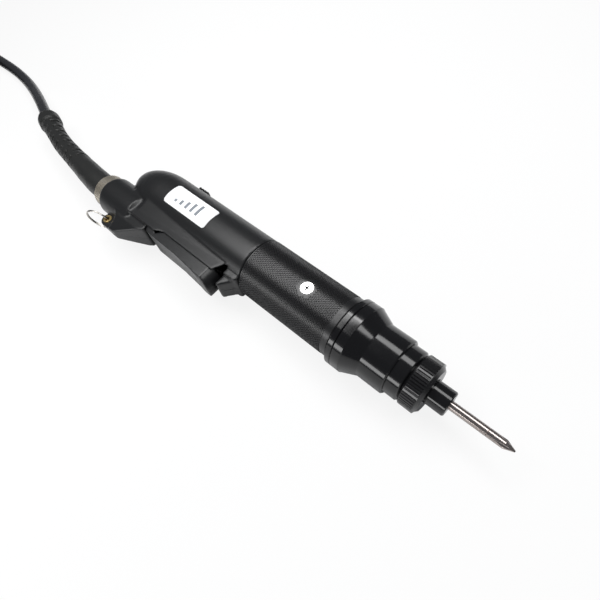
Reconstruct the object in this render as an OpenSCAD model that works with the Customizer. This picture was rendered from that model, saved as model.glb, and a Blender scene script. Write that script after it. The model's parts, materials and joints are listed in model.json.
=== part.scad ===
// Electric torque screwdriver with a lever start, a torque nut and a plug-in cord.
// The X axis is the tool's axis, with the bit at +X. The label faces +Z and the lever -Y.
// The origin is on the bit's axis, where its plain shank leaves the chuck collar. Millimetres.

/* [Bit and chuck] */
// Diameter of the bit's shank
bit_d = 4; // [3.5:0.1:4.4]
// Length of the bit that stands out of the chuck
bit_out = 27.5; // [20:0.5:40]
// Length of the bit's shank inside the spindle
bit_in = 16; // [14.5:0.5:18]
// Diameter of the chuck collar
collar_d = 11.4; // [11.2:0.1:11.8]
// Length of the collar in front of the torque nut
collar_len = 8.8; // [7.8:0.1:10]
// Forward travel that frees the bit
collar_travel = 3; // [1.5:0.1:3.4]
// Diameter of the spindle
spindle_d = 7; // [6.6:0.1:7.4]

/* [Torque adjuster] */
// Diameter of the knurled nut
nut_d = 24.2; // [24:0.1:27]
// Length of the knurled nut
nut_len = 9.1; // [8.6:0.1:12]
// Number of ridges in the knurl
knurl_count = 56; // [40:1:70]
// Travel of the nut from fully tight
nut_travel = 3; // [1:0.1:3.2]
// Thread pitch of the nut
nut_pitch = 1; // [0.75:0.05:1.5]
// Outer diameter of the clutch tube
tube_d = 24; // [23.6:0.1:25]
// Length of the tube between nose and nut
tube_show = 6.7; // [4:0.1:10]
// Wire diameter of the torque spring
torque_wire = 1.4; // [1:0.1:1.6]

/* [Nose] */
// Diameter of the nose barrel
barrel_d = 26.8; // [26.2:0.1:28]
// Length of the nose barrel
barrel_len = 13.7; // [10:0.1:18]
// Length of the cone behind the barrel
cone_len = 6.1; // [4:0.1:9]
// Diameter of the widest band
band_d = 33.8; // [32.6:0.1:36]
// Length of the band on the nose cone
band_len = 4.9; // [4:0.1:8]
// Length of the separate end ring, with its flare
ring_len = 4.2; // [3.5:0.1:6]

/* [Grip and housing] */
// Diameter of the grip and the housing
body_d = 30.4; // [30:0.1:32]
// Length of the grip sleeve
grip_len = 54.8; // [50:0.2:60]
// Length from the grip's rear edge to the end of the rounded rear
rear_len = 98.6; // [96:0.2:108]
// Wall thickness of the housing
wall = 2.4; // [1.8:0.1:2.8]
// Length of the rounded rear
dome_len = 26; // [18:0.5:30]
// Height of the lever rail's side, below the axis
rail_drop = 21; // [20:0.1:22]
// Half of the rail's width
rail_w = 9.6; // [9.4:0.1:10.4]
// Distance of the tail's axis below the tool's axis
tail_drop = 16.3; // [15.6:0.1:17.4]
// Diameter of the tail
tail_d = 22.2; // [22:0.1:23.6]
// Length of the tail behind the housing's rear face
tail_out = 6.3; // [4:0.1:9]

/* [Lever] */
// Half of the lever's width
lever_w = 8.5; // [7.5:0.1:8.6]
// Distance of the lever's outer face below the axis, at the front
lever_drop = 26.4; // [25.5:0.1:27]
// Angle that the lever turns when it is pressed
lever_angle = 3.2; // [1:0.1:3.4]
// Diameter of the lever's pin
lever_pin_d = 2.5; // [2:0.1:3]

/* [Hanger] */
// Middle radius of the hanger ring
hang_r = 7; // [6.6:0.1:9]
// Wire diameter of the hanger ring
hang_wire = 1.2; // [0.8:0.1:1.3]
// Thickness of the lug that the ring passes through
lug_t = 4; // [3:0.1:4.4]

/* [Label] */
// Length of the label
label_len = 32.3; // [24:0.1:36]
// Half of the angle that the label wraps
label_half = 25; // [15:1:28]

/* [Motor and gears] */
// Diameter of the motor can
motor_d = 24.4; // [23.4:0.1:24.4]
// Length of the motor can
motor_len = 38; // [30:1:42]
// Gear module
gear_m = 0.4; // [0.4:0.01:0.4]
// Teeth of the sun gear
sun_teeth = 12; // [12:12:12]
// Teeth of each planet gear
planet_teeth = 18; // [18:18:18]
// Width of the planet gears
gear_w = 5.6; // [4:0.1:6]

/* [Cord] */
// Diameter of the cord
cord_d = 7.5; // [6.5:0.1:8.5]
// Diameter of the plug's knurled ring
plug_nut_d = 19; // [18:0.1:20]
// Length of the plug's knurled ring
plug_nut_len = 7.5; // [6.5:0.1:9]
// Diameter of the strain relief at the plug
boot_d = 15.2; // [14:0.1:16]

/* [Hidden] */
$fn = 64;

// Clearances
fit = 0.03;         // between seated pieces of one body
run = 0.06;         // radial, between pieces that turn or slide
face_gap = 0.1;     // between faces that pass each other
soft_gap = 0.3;     // between curved faces that move

// Stations along the axis, from the front to the back
nut_front = -collar_len;
nut_back = nut_front - nut_len;
barrel_front = nut_back - tube_show;
cone_front = barrel_front - barrel_len;
band_front = cone_front - cone_len;
band_back = band_front - band_len;
grip_front = band_back - ring_len + 0.7;
grip_back = grip_front - grip_len;
rear_face = grip_back - rear_len;
tail_face = rear_face - tail_out;
body_r = body_d / 2;
band_r = band_d / 2;
barrel_r = barrel_d / 2;
floor_z = -band_r;

// Stations inside the nose
tube_r = tube_d / 2;
nut_wall = 2.8;
thread_r = 9.5;
guide_r = 7.3;
tube_back = barrel_front - 12.9;
tube_bore = 9.9;
cam_front = tube_back + 5.5;
cam_t = 3.2;
ball_r = 1.5;
ball_pitch_r = 6.4;
washer_t = 1;
driver_front = cam_front - cam_t - 1.6;
driver_t = 3.1;
disc_r = 8.5;
neck_r = 4.5;
pilot_r = 2.5;
case_front = band_front + 1;
case_r = 13.3;
case_wall = 1;
carrier_t = 2.4;
gear_front = case_front - carrier_t - 0.5;
planet_r = gear_m * planet_teeth / 2;
sun_r = gear_m * sun_teeth / 2;
ring_teeth = sun_teeth + 2 * planet_teeth;
orbit_r = sun_r + planet_r;
planet_pin_r = 1.1;
motor_front = gear_front - gear_w - 1.2;
motor_back = motor_front - motor_len;
motor_r = motor_d / 2;
shaft_r = 1.15;
case_back = motor_back - 1;
screw_x = grip_front - 21.8;

// Spindle and chuck
spindle_r = spindle_d / 2;
spindle_front = -1.7;
clip_front = -2.4;
clip_t = 0.8;
clip_r = 4.7;
collar_r = collar_d / 2;
collar_cavity = 4.95;
collar_back = nut_front - 5.2;
collar_shoulder = collar_back + 1.5;
bit_ball_r = 1;
ball_x = collar_back + 0.75;
bit_ball_orbit = spindle_r - bit_ball_r;
bit_r = bit_d / 2;

// Lever side
pivot = [grip_back - 60.4, -19];
lever_top = 16.6;
well_w = lever_w + soft_gap;
well_top = 12.6;
well_front = grip_back - 8.6;
well_back = pivot[0] - 3;
plunger_x = pivot[0] + 22;
spring_x = pivot[0] + 38;
eye = [rear_face + 6.6, -30.3];
eyelet_r = 2;
lug_r = 4;
scallop_r = 7;
eye_hole = 1.25;
hang_dir = atan2(-0.39, -0.92);
knob_x = grip_back - 61;

// Cord, plug and boot
tail_y = -tail_drop;
tail_r = tail_d / 2;
plug_back = tail_face - plug_nut_len;
boot_r = boot_d / 2;
cord_r = cord_d / 2;
cord_z = floor_z + cord_r;
boot_line = [[plug_back, tail_y, 0], [plug_back - 9, tail_y, 0], [-241, -15.3, -0.2],
    [-253, -14, -0.5], [-266, -12.6, -0.9], [-280, -10.8, -1.4], [-292, -8.4, -2], [-306, -4.9, -2.7],
    [-309, -4.1, -2.9], [-315, -2.5, -3.3], [-318, -1.7, -3.5]];
boot_radii = [boot_r, boot_r, boot_r - 0.4, boot_r - 0.9, boot_r - 1.3, boot_r - 1.5,
    boot_r - 1.7, boot_r - 1.5, boot_r - 0.4, boot_r - 0.4, boot_r - 1.2];
cord_route = [[-318, -1.7, -3.5], [-330, 1.5, -4.8], [-344, 5.4, -6.8], [-358, 9, -9],
    [-372, 12.2, -11.1], [-388, 15.2, -12.7], [-404, 17, -13.1], [-420, 17.6, -13.1],
    [-436, 17.4, -13.1], [-453, 17, -13.1], [-470, 16.5, -13.1]];
end_route = [[-470, -73, 0.4], [-458, -73, -0.8], [-446, -73, -3.8], [-434, -73, -7.6],
    [-422, -73, -11], [-411, -73, -12.9], [-400, -73, -13.1]];
coil_at = [-470, -32];
coil_turn_r = 41;
coil_rows_h = 6.7;
end_plug_r = 8;
end_plug_len = 24;
end_nut_r = 9;

// A solid of revolution about the X axis: points are [x, radius]
module turned(points) {
    rotate([0, 90, 0]) rotate_extrude() polygon([for (p = points) [p[1], p[0]]]);
}

// A plain ring or rod on the X axis, from x0 to x1
module ring_x(x0, x1, outer, inner = 0) {
    turned([[x0, inner], [x1, inner], [x1, outer], [x0, outer]]);
}

// A flat shape in the XY plane, as thick as 2 * half, centred on z = 0
module slab(half) { translate([0, 0, -half]) linear_extrude(2 * half) children(); }

function unit(v) = v / norm(v);

// Rings of a tube of changing radius along a line of points
function tube_ring(p, t, r, n, ref) = let (a = unit(cross(t, ref)), b = unit(cross(t, a)))
    [for (i = [0 : n - 1]) p + r * (cos(360 * i / n) * a + sin(360 * i / n) * b)];
module tube(line, radii, n = 10, ref = [0, 0, 1]) {
    last = len(line) - 1;
    rings = [for (k = [0 : last])
        tube_ring(line[k], unit(line[min(k + 1, last)] - line[max(k - 1, 0)]), radii[k], n, ref)];
    points = [for (ring = rings) each ring];
    sides = [for (k = [0 : last - 1], i = [0 : n - 1])
        let (j = (i + 1) % n) [k * n + i, k * n + j, (k + 1) * n + j, (k + 1) * n + i]];
    first_cap = [for (i = [n - 1 : -1 : 0]) i];
    last_cap = [for (i = [0 : n - 1]) last * n + i];
    polyhedron(points, concat([first_cap, last_cap], sides), convexity = 8);
}

// The line of a coil spring about the X axis, from x0 to x1 over its wire
spring_steps = 14;
function spring_line(x0, x1, r, wire, turns) = let (
    count = turns * spring_steps, pitch = (x1 - x0 - wire) / count)
    [for (i = [0 : count]) let (a = 360 * i / spring_steps)
        [x0 + wire / 2 + pitch * i, r * cos(a), r * sin(a)]];
module spring_along_x(x0, x1, r, wire, turns) {
    line = spring_line(x0, x1, r, wire, turns);
    tube(line, [for (p = line) wire / 2], 8, [1, 0, 0]);
}

// Gear teeth: an outline with flanks that follow the rolling circle
function involute(base, a) = base * [cos(a) + a * PI / 180 * sin(a), sin(a) - a * PI / 180 * cos(a)];
function roll_angle(base, r) = r <= base ? 0 : sqrt(pow(r / base, 2) - 1) * 180 / PI;
function polar_angle(p) = atan2(p[1], p[0]);
module gear_outline(teeth, root, tip, slack) {
    pitch_r = gear_m * teeth / 2;
    base = pitch_r * cos(20);
    half = 90 / teeth - slack / pitch_r * 90 / PI
        + polar_angle(involute(base, roll_angle(base, pitch_r)));
    steps = 4;
    flank = [for (i = [0 : steps]) let (
        r = max(root, base) + (tip - max(root, base)) * i / steps,
        p = involute(base, roll_angle(base, r))) [r, half - polar_angle(p)]];
    polygon([for (t = [0 : teeth - 1]) let (mid = 360 * t / teeth) each concat(
        [[root * cos(mid - half), root * sin(mid - half)]],
        [for (f = flank) f[0] * [cos(mid - f[1]), sin(mid - f[1])]],
        [for (i = [steps : -1 : 0]) let (f = flank[i]) f[0] * [cos(mid + f[1]), sin(mid + f[1])]],
        [[root * cos(mid + half), root * sin(mid + half)]])]);
}
tooth_slack = 0.08;
sun_root = sun_r - 1.25 * gear_m;
planet_root = planet_r - 1.25 * gear_m;

/* Bit, spindle and chuck */

module bit() color([0.62, 0.6, 0.58]) {
    flute_from = bit_out - 11;
    cone_from = bit_out - 4.2;
    wings = 4;
    tip_r = 0.35;
    relief_r = bit_r - 0.2;
    groove = 0.15;
    difference() {
        turned([[-bit_in, 0], [-bit_in, bit_r - 0.5], [-bit_in + 0.3, relief_r],
            [-face_gap / 2, relief_r], [-face_gap / 2, bit_r], [flute_from - 0.5, bit_r],
            [flute_from - 0.5 + groove, relief_r], [flute_from - 0.5 + 2 * groove, bit_r],
            [cone_from, bit_r], [bit_out, tip_r], [bit_out, 0]]);
        for (i = [0 : wings - 1]) rotate([i * 360 / wings + 45, 0, 0])
            translate([bit_out, 0, bit_r * 0.93]) rotate([0, 10.5, 0])
                translate([flute_from - bit_out - 3, 0, 0]) rotate([0, 90, 0])
                    cylinder(r = bit_r * 0.55, h = bit_out - flute_from + 4);
        translate([ball_x, 0, 0]) rotate([0, 90, 0]) rotate_extrude()
            translate([bit_ball_orbit, 0]) circle(r = bit_ball_r + run);
    }
}

module spindle() color([0.55, 0.55, 0.56]) difference() {
    union() {
        ring_x(cam_front, spindle_front, spindle_r);
        ring_x(driver_front - driver_t - 1, cam_front + 0.5, pilot_r);
    }
    ring_x(-bit_in - 0.4, 1, bit_r + fit);
    ring_x(clip_front - clip_t - fit, clip_front + fit, spindle_r + 1, spindle_r - 0.6);
    for (s = [-1, 1]) translate([ball_x, 0, 0]) rotate([90 * s, 0, 0])
        cylinder(r = bit_ball_r + fit, h = spindle_r + 1);
}

module spindle_clip() color([0.3, 0.3, 0.31]) difference() {
    ring_x(clip_front - clip_t, clip_front, clip_r, spindle_r - 0.6 + fit);
    translate([clip_front - 2, -0.7, 0]) cube([4, 1.4, 6]);
}

module bit_balls() color([0.7, 0.7, 0.72]) for (s = [-1, 1])
    translate([ball_x, s * bit_ball_orbit, 0]) sphere(r = bit_ball_r);

module chuck_collar() color([0.1, 0.1, 0.11]) {
    spindle_clear = spindle_r + run;
    turned([[collar_back, spindle_clear], [collar_shoulder, spindle_clear],
        [collar_shoulder, collar_cavity], [clip_front + face_gap, collar_cavity],
        [clip_front + face_gap, spindle_clear], [spindle_front + face_gap, spindle_clear],
        [spindle_front + face_gap, bit_r + face_gap], [-0.5, bit_r + face_gap],
        [-face_gap, bit_r + 0.5], [-face_gap, collar_r - 0.5], [-0.6, collar_r],
        [collar_back + 0.4, collar_r], [collar_back, collar_r - 0.4]]);
}

module collar_spring() color([0.6, 0.6, 0.62])
    spring_along_x(collar_shoulder, clip_front - clip_t, spindle_r + 0.75, 0.7, 5);

/* Torque adjuster and clutch */

module torque_nut() color([0.06, 0.06, 0.065]) {
    nut_r = nut_d / 2;
    knurl_depth = 0.45;
    knurl_back = nut_back + 0.9;
    knurl_front = nut_front - 1.5;
    difference() {
        turned([[nut_back + face_gap, thread_r + run], [nut_front - nut_wall, thread_r + run],
            [nut_front - nut_wall, collar_r + 0.35], [nut_front, collar_r + 0.35],
            [nut_front, nut_r - 2.1], [knurl_front, nut_r - 0.5], [knurl_front, nut_r],
            [knurl_back, nut_r], [nut_back + face_gap, nut_r - 0.8]]);
        for (i = [0 : knurl_count - 1]) rotate([i * 360 / knurl_count, 0, 0])
            translate([knurl_back + 0.2, 0, nut_r]) rotate([45, 0, 0])
                translate([0, -knurl_depth / 2, -knurl_depth / 2])
                    cube([knurl_front - knurl_back - 0.4, knurl_depth * 1.4, knurl_depth * 1.4]);
    }
}

seat_back = cam_front + washer_t + 0.3 + 6.6;
module spring_seat() color([0.5, 0.5, 0.5]) {
    seat_front = nut_front - nut_wall - face_gap;
    turned([[seat_back, spindle_r + 1], [seat_back + 1.5, spindle_r + 1],
        [seat_back + 1.5, 5.6], [seat_front, 5.6 + 0.6], [seat_front, guide_r],
        [seat_back + 1.5, guide_r], [seat_back + 1.5, tube_bore - 0.2],
        [seat_back, tube_bore - 0.2]]);
}

module spindle_bush() color([0.72, 0.5, 0.25])
    ring_x(seat_back + 1.5 + fit, seat_back + 5.8, 5.6 - fit, spindle_r + run);

module torque_spring() color([0.62, 0.62, 0.64])
    spring_along_x(cam_front + washer_t + 0.3, seat_back, 8, torque_wire, 4);

module thrust_washer() color([0.6, 0.6, 0.6])
    ring_x(cam_front + 0.2, cam_front + 0.2 + washer_t, tube_bore - 0.2, spindle_r + 0.3);

module clutch_tube() color([0.07, 0.07, 0.075]) turned([[tube_back, tube_bore],
    [nut_back - 1.3, tube_bore], [nut_back - 1.3, guide_r + run],
    [nut_front - nut_wall - 0.4, guide_r + run], [nut_front - nut_wall - 0.4, thread_r - 0.4],
    [nut_front - nut_wall - 0.8, thread_r], [nut_back, thread_r], [nut_back, tube_r - 0.9],
    [nut_back - 1, tube_r], [tube_back, tube_r]]);

module clutch_balls() color([0.7, 0.7, 0.72]) for (i = [0 : 5]) rotate([60 * i, 0, 0])
    translate([cam_front - cam_t - 0.8, 0, ball_pitch_r]) sphere(r = ball_r);

module ball_pockets() for (i = [0 : 5]) rotate([60 * i, 0, 0])
    translate([cam_front - cam_t - 0.8, 0, ball_pitch_r]) sphere(r = ball_r + fit);

module clutch_cam() color([0.5, 0.5, 0.52]) difference() {
    ring_x(cam_front - cam_t, cam_front - fit, disc_r, pilot_r + fit);
    ball_pockets();
}

module clutch_driver() color([0.48, 0.48, 0.5]) difference() {
    ring_x(driver_front - driver_t, driver_front, disc_r, neck_r + fit);
    ball_pockets();
}

/* Nose, grip and their fasteners */

module nose_cone() color([0.05, 0.05, 0.055]) {
    lip = 0.6;
    turned([[barrel_front, tube_r + fit], [tube_back - fit, tube_r + fit],
        [tube_back - fit, disc_r + 0.8], [case_front + fit, disc_r + 0.8],
        [case_front + fit, case_r + fit], [band_back, case_r + fit], [band_back, band_r - 0.4],
        [band_back + 0.4, band_r], [band_front - 0.3, band_r], [band_front, band_r - 0.25],
        [cone_front + 0.3, barrel_r + 0.35], [cone_front + 1, barrel_r],
        [barrel_front - lip, barrel_r], [barrel_front, barrel_r - lip]]);
}

module end_ring() color([0.06, 0.06, 0.065]) turned([[grip_front, case_r + fit],
    [band_back - fit, case_r + fit], [band_back - fit, band_r - 0.4],
    [band_back - 0.4, band_r], [band_back - ring_len + 1.6, band_r],
    [grip_front + fit, body_r + 0.35], [grip_front + fit, body_r - 0.9], [grip_front, body_r - 0.9]]);

module grip_sleeve() color([0.12, 0.12, 0.125]) difference() {
    turned([[grip_back, case_r + fit], [grip_front - fit, case_r + fit],
        [grip_front - fit, body_r - 0.4], [grip_front - 0.4, body_r], [grip_front - 3.4, body_r],
        [grip_front - 3.6, body_r - 0.15], [grip_back + 0.4, body_r - 0.15],
        [grip_back, body_r - 0.4]]);
    for (s = [0, 180]) rotate([s, 0, 0]) translate([screw_x, 0, 0])
        cylinder(r = 3.9, h = body_r + 1);
}

module screw_cups() color([0.04, 0.04, 0.04]) for (s = [0, 180]) rotate([s, 0, 0])
    translate([screw_x, 0, 0]) intersection() {
        difference() {
            translate([0, 0, case_r + 0.1]) cylinder(r = 3.9 - fit, h = body_r - case_r - 0.4);
            cylinder(r = 1.5 + fit, h = body_r);
            translate([0, 0, body_r - 1.6]) cylinder(r1 = 1.6, r2 = 3.2, h = 1.0 + fit);
            translate([0, 0, body_r - 0.6]) cylinder(r = 3.2, h = 1);
        }
        rotate([0, 90, 0]) translate([0, 0, -5]) cylinder(r = body_r - 0.2, h = 10);
    }

module cross_recess(r, depth) for (a = [0, 90]) rotate([0, 0, a])
    translate([-r, -0.35, -depth]) cube([2 * r, 0.7, depth + 1]);

module grip_screws() color([0.75, 0.75, 0.76]) for (s = [0, 180]) rotate([s, 0, 0])
    translate([screw_x, 0, body_r - 0.6]) difference() {
        union() {
            translate([0, 0, -1]) cylinder(r1 = 1.5, r2 = 3, h = 1);
            translate([0, 0, case_r - case_wall + 0.1 - body_r + 0.6])
                cylinder(r = 1.5, h = body_r - 0.7 - (case_r - case_wall + 0.1));
        }
        cross_recess(1.5, 0.8);
    }

/* Gears and motor */

module gear_case() color([0.5, 0.5, 0.5]) difference() {
    ring_x(case_back, case_front, case_r, case_r - case_wall);
    for (s = [0, 180]) rotate([s, 0, 0]) translate([screw_x, 0, 0])
        cylinder(r = 1.5 + fit, h = case_r + 1);
}

module ring_gear() color([0.72, 0.7, 0.62]) difference() {
    ring_x(gear_front - gear_w - 0.2, gear_front + 0.2, case_r - case_wall - fit);
    translate([gear_front - gear_w - 1, 0, 0]) rotate([0, 90, 0]) linear_extrude(gear_w + 2)
        rotate(180 / ring_teeth) gear_outline(ring_teeth, orbit_r + planet_r - gear_m,
            orbit_r + planet_r + 1.25 * gear_m, -tooth_slack);
}

module planet(k) color([0.66, 0.66, 0.67]) rotate([k * 120, 0, 0])
    translate([gear_front - gear_w, 0, orbit_r]) rotate([0, 90, 0]) difference() {
        rotate([0, 0, 180 / planet_teeth]) linear_extrude(gear_w)
            gear_outline(planet_teeth, planet_root, planet_r + gear_m, tooth_slack);
        translate([0, 0, -1]) cylinder(r = planet_pin_r + run, h = gear_w + 2);
    }
module planet_gear_1() planet(0);
module planet_gear_2() planet(1);
module planet_gear_3() planet(2);

module planet_carrier() color([0.55, 0.55, 0.56]) {
    plate_back = case_front - carrier_t;
    difference() {
        union() {
            ring_x(plate_back, case_front - 0.4, disc_r + 2);
            ring_x(case_front - 0.5, driver_front - 0.5, neck_r);
        }
        ring_x(driver_front - driver_t - 1.4, driver_front, pilot_r + run);
    }
    for (k = [0 : 2]) rotate([k * 120, 0, 0]) translate([gear_front - gear_w - 0.1, 0, orbit_r])
        rotate([0, 90, 0]) cylinder(r = planet_pin_r, h = plate_back - gear_front + gear_w + 0.2);
}

module sun_gear() color([0.72, 0.6, 0.35]) translate([gear_front - gear_w, 0, 0])
    rotate([0, 90, 0]) difference() {
        linear_extrude(gear_w)
            gear_outline(sun_teeth, sun_root, sun_r + gear_m, tooth_slack);
        translate([0, 0, -1]) cylinder(r = shaft_r + fit, h = gear_w + 2);
    }

magnet_in = 9.2;
can_wall = 0.9;
cap_t = 3;
module motor_can() color([0.62, 0.62, 0.63]) difference() {
    ring_x(motor_back + fit, motor_front, motor_r);
    ring_x(motor_back - 1, motor_front - 1.2, motor_r - can_wall);
    ring_x(motor_front - 2, motor_front + 1, shaft_r + run);
}

module motor_magnets() color([0.2, 0.2, 0.2]) for (s = [0, 180]) rotate([s, 0, 0])
    difference() {
        ring_x(motor_back + 12, motor_front - 4, motor_r - can_wall - fit, magnet_in);
        translate([motor_back, -motor_r, -motor_r]) cube([motor_len, 2 * motor_r, motor_r + 3]);
    }

module motor_shaft() color([0.7, 0.7, 0.72])
    ring_x(motor_back + 1, gear_front - 0.3, shaft_r);

module motor_rotor() color([0.45, 0.25, 0.15]) difference() {
    ring_x(motor_back + 13, motor_front - 5, magnet_in - 0.5, shaft_r + fit);
    for (i = [0 : 2]) rotate([i * 120, 0, 0]) translate([motor_back, -0.6, shaft_r + 2.5])
        cube([motor_len, 1.2, magnet_in]);
}

module commutator() color([0.75, 0.45, 0.25])
    ring_x(motor_back + 6, motor_back + 11.5, 3.2, shaft_r + fit);

module motor_brushes() color([0.2, 0.2, 0.2]) for (s = [-1, 1])
    translate([motor_back + cap_t + fit, s * 5.3 - 1.95, -1.5]) cube([7.5, 3.9, 3]);

module motor_end_cap() color([0.85, 0.82, 0.72])
    ring_x(motor_back + 2 * fit, motor_back + cap_t, motor_r - can_wall - fit, shaft_r + run);

/* Housing */

// The outer form of the rear housing, before it is hollowed and split
module housing_form() {
    turned([[grip_back - fit, 0], [grip_back - fit, body_r - 0.4], [grip_back - 0.4, body_r],
        for (a = [0 : 7.5 : 90]) [rear_face + dome_len * (1 - sin(a)), body_r * cos(a)]]);
    translate([0, tail_y, 0]) turned([[tail_face, 0], [tail_face, tail_r - 1.6],
        [tail_face + 0.5, tail_r - 0.5], [tail_face + 1.6, tail_r], [rear_face + 20, tail_r],
        [rear_face + 28, 0]]);
    // Rail that carries the lever, with cheeks that flare towards the front
    slab(rail_w) polygon([[rear_face + 11, -8], [rear_face + 11, -rail_drop + 2],
        [rear_face + 14, -rail_drop], [pivot[0] + 4, -rail_drop],
        [pivot[0] + 9.5, -lever_top - 2], [well_front - 4.4, -lever_top - 2],
        [well_front - 1.3, -well_top], [well_front - 1.3, -8]]);
    for (s = [-1, 1]) scale([1, 1, s]) rail_fillet();
    // Ramp that guards the lever's front end
    slab(rail_w - 1.4) polygon([[grip_back - fit, -8], [grip_back - fit, -body_r],
        [grip_back - 1.8, -body_r - 1], [grip_back - 5.4, -body_r - 5.2],
        [grip_back - 7.2, -body_r - 7.8], [grip_back - 8, -body_r - 7.6],
        [grip_back - 8.4, -body_r - 6.8], [grip_back - 8.4, -8]]);
    // Belly behind the lever, and the lug for the hanger ring
    difference() {
        slab(7.6) polygon([[pivot[0] - 0.8, -18], [pivot[0] - 2.6, -23.6],
            [rear_face + 19, -33.4], [rear_face + 17.4, -34.2], [rear_face + 7, -34.2],
            [rear_face + 7, -18]]);
        for (s = [-1, 1]) translate([eye[0], eye[1], s * (lug_t / 2 + 5)])
            cylinder(r = scallop_r, h = 10, center = true);
    }
    slab(lug_t / 2) translate([eye[0], eye[1]]) circle(r = lug_r);
}

// Sloping filler between the rail and the round body, which runs out at the front
module rail_fillet() {
    z0 = rail_w - 0.2;
    front_x = well_front - 1.4;
    back_x = rear_face + 24;
    polyhedron([[back_x, -18.2, z0], [back_x, -9.5, body_r * 0.78], [back_x, -6, 6],
        [back_x, -18.2, 6], [front_x, -12, z0], [front_x, -11.4, z0 + 0.4], [front_x, -6, 6],
        [front_x, -12, 6]],
        [[3, 2, 1, 0], [4, 5, 6, 7], [0, 1, 5, 4], [1, 2, 6, 5], [2, 3, 7, 6], [3, 0, 4, 7]]);
}

inner_r = body_r - wall;
tail_wall = 2.2;
module housing_hollow() {
    ring_x(rear_face + 18, grip_back + 1, inner_r);
    translate([0, tail_y, 0]) ring_x(tail_face - 1, rear_face + 16, tail_r - tail_wall);
    // Well for the lever, open downwards and at the front
    slab(well_w) polygon([[well_back, -8], [well_back, -40], [well_front, -40], [well_front, -8]]);
    translate([pivot[0], pivot[1], 0]) cylinder(r = lever_pin_d / 2 + fit, h = 2 * rail_w - 1.6,
        center = true);
    translate([eye[0], eye[1], 0]) cylinder(r = eyelet_r + run, h = 3 * lug_t, center = true);
    // Slot for the direction knob
    translate([knob_x - 6.5, inner_r - 3, -2.6]) cube([13, 12, 5.2]);
}

module housing() difference() {
    union() {
        difference() { housing_form(); housing_hollow(); }
        // Spigot that enters the grip sleeve
        ring_x(grip_back - 6, grip_back + 6, case_r - fit, inner_r - 1.2);
        // Shelf behind the lever well and seat of the lever spring
        slab(well_w + 0.4) polygon([[spring_x - 3.5, -11.2], [spring_x + 3.5, -11.2],
            [spring_x + 3.5, -12.4], [spring_x - 3.5, -12.4]]);
        // Screw posts
        for (p = housing_posts) translate([p[0], p[1], 0])
            cylinder(r = 2.6, h = 2 * sqrt(pow(inner_r + 0.6, 2) - pow(p[1], 2)), center = true);
    }
    for (p = housing_posts) translate([p[0], p[1], 0]) {
        cylinder(r = 1.25 + fit, h = 13, center = true);
        translate([0, 0, -body_r - 1]) cylinder(r = 2.3 + fit, h = body_r - 4);
        translate([0, 0, -10]) cylinder(r = 1.25 + fit, h = 10);
    }
}
housing_posts = [[grip_back - 14, 7.8], [rear_face + 26, 7.8]];

module half_space(s) translate([rear_face - 20, -50, s > 0 ? 0 : -50])
    cube([rear_len + 40, 100, 50]);
module housing_label_side() color([0.13, 0.13, 0.135])
    intersection() { housing(); half_space(1); }
module housing_far_side() color([0.12, 0.12, 0.125])
    intersection() { housing(); half_space(-1); }

module housing_screws() color([0.3, 0.3, 0.3]) for (p = housing_posts)
    translate([p[0], p[1], 0]) difference() {
        union() {
            translate([0, 0, -5 - 1.8]) cylinder(r = 2.3, h = 1.8);
            translate([0, 0, -5]) cylinder(r = 1.25, h = 10);
        }
        translate([0, 0, -5 - 1.8]) rotate([180, 0, 0]) cross_recess(1.3, 0.9);
    }

module label() color([0.93, 0.93, 0.92]) intersection() {
    ring_x(grip_back - 31 - label_len, grip_back - 31, body_r + 0.15, body_r + 0.005);
    rotate([0, 90, 0]) translate([0, 0, grip_back - 32 - label_len]) rotate([0, 0, 180])
        linear_extrude(label_len + 2) polygon([[0, 0],
            [2 * body_r, 2 * body_r * tan(label_half)], [2 * body_r, -2 * body_r * tan(label_half)]]);
}

/* Electrics */

board_back = rear_face + 24;
module circuit_board() color([0.1, 0.35, 0.15])
    translate([board_back, 2.4, -10.5]) cube([grip_back - 22 - board_back, 1.6, 21]);

module start_switch() color([0.15, 0.15, 0.15]) difference() {
    translate([plunger_x - 6.4, -6.6, -3]) cube([12.8, 9 - fit, 6]);
    translate([plunger_x, -3.4, 0]) rotate([90, 0, 0]) cylinder(r = 1.2 + run, h = 5);
}

module switch_plunger() color([0.7, 0.2, 0.15])
    translate([plunger_x, -5.2, 0]) rotate([90, 0, 0]) cylinder(r = 1.2, h = 6.2);

module direction_switch() color([0.18, 0.18, 0.18]) difference() {
    translate([knob_x - 8, 4 + fit, -4]) cube([16, 5.2, 8]);
    translate([knob_x - 4, 6, -1.4 - run]) cube([8, 8, 2.8 + 2 * run]);
}

module direction_knob() color([0.08, 0.08, 0.085]) {
    translate([knob_x - 1.4, 6.2, -1.4]) cube([2.8, 5, 2.8]);
    translate([knob_x - 4.2, 11, -2.4]) cube([8.4, body_r + 0.2 - 11, 4.8]);
    for (i = [0 : 3]) translate([knob_x - 3.6 + 2 * i, body_r + 0.1, -2.4]) cube([1.2, 1.5, 4.8]);
}

/* Lever */

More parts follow.
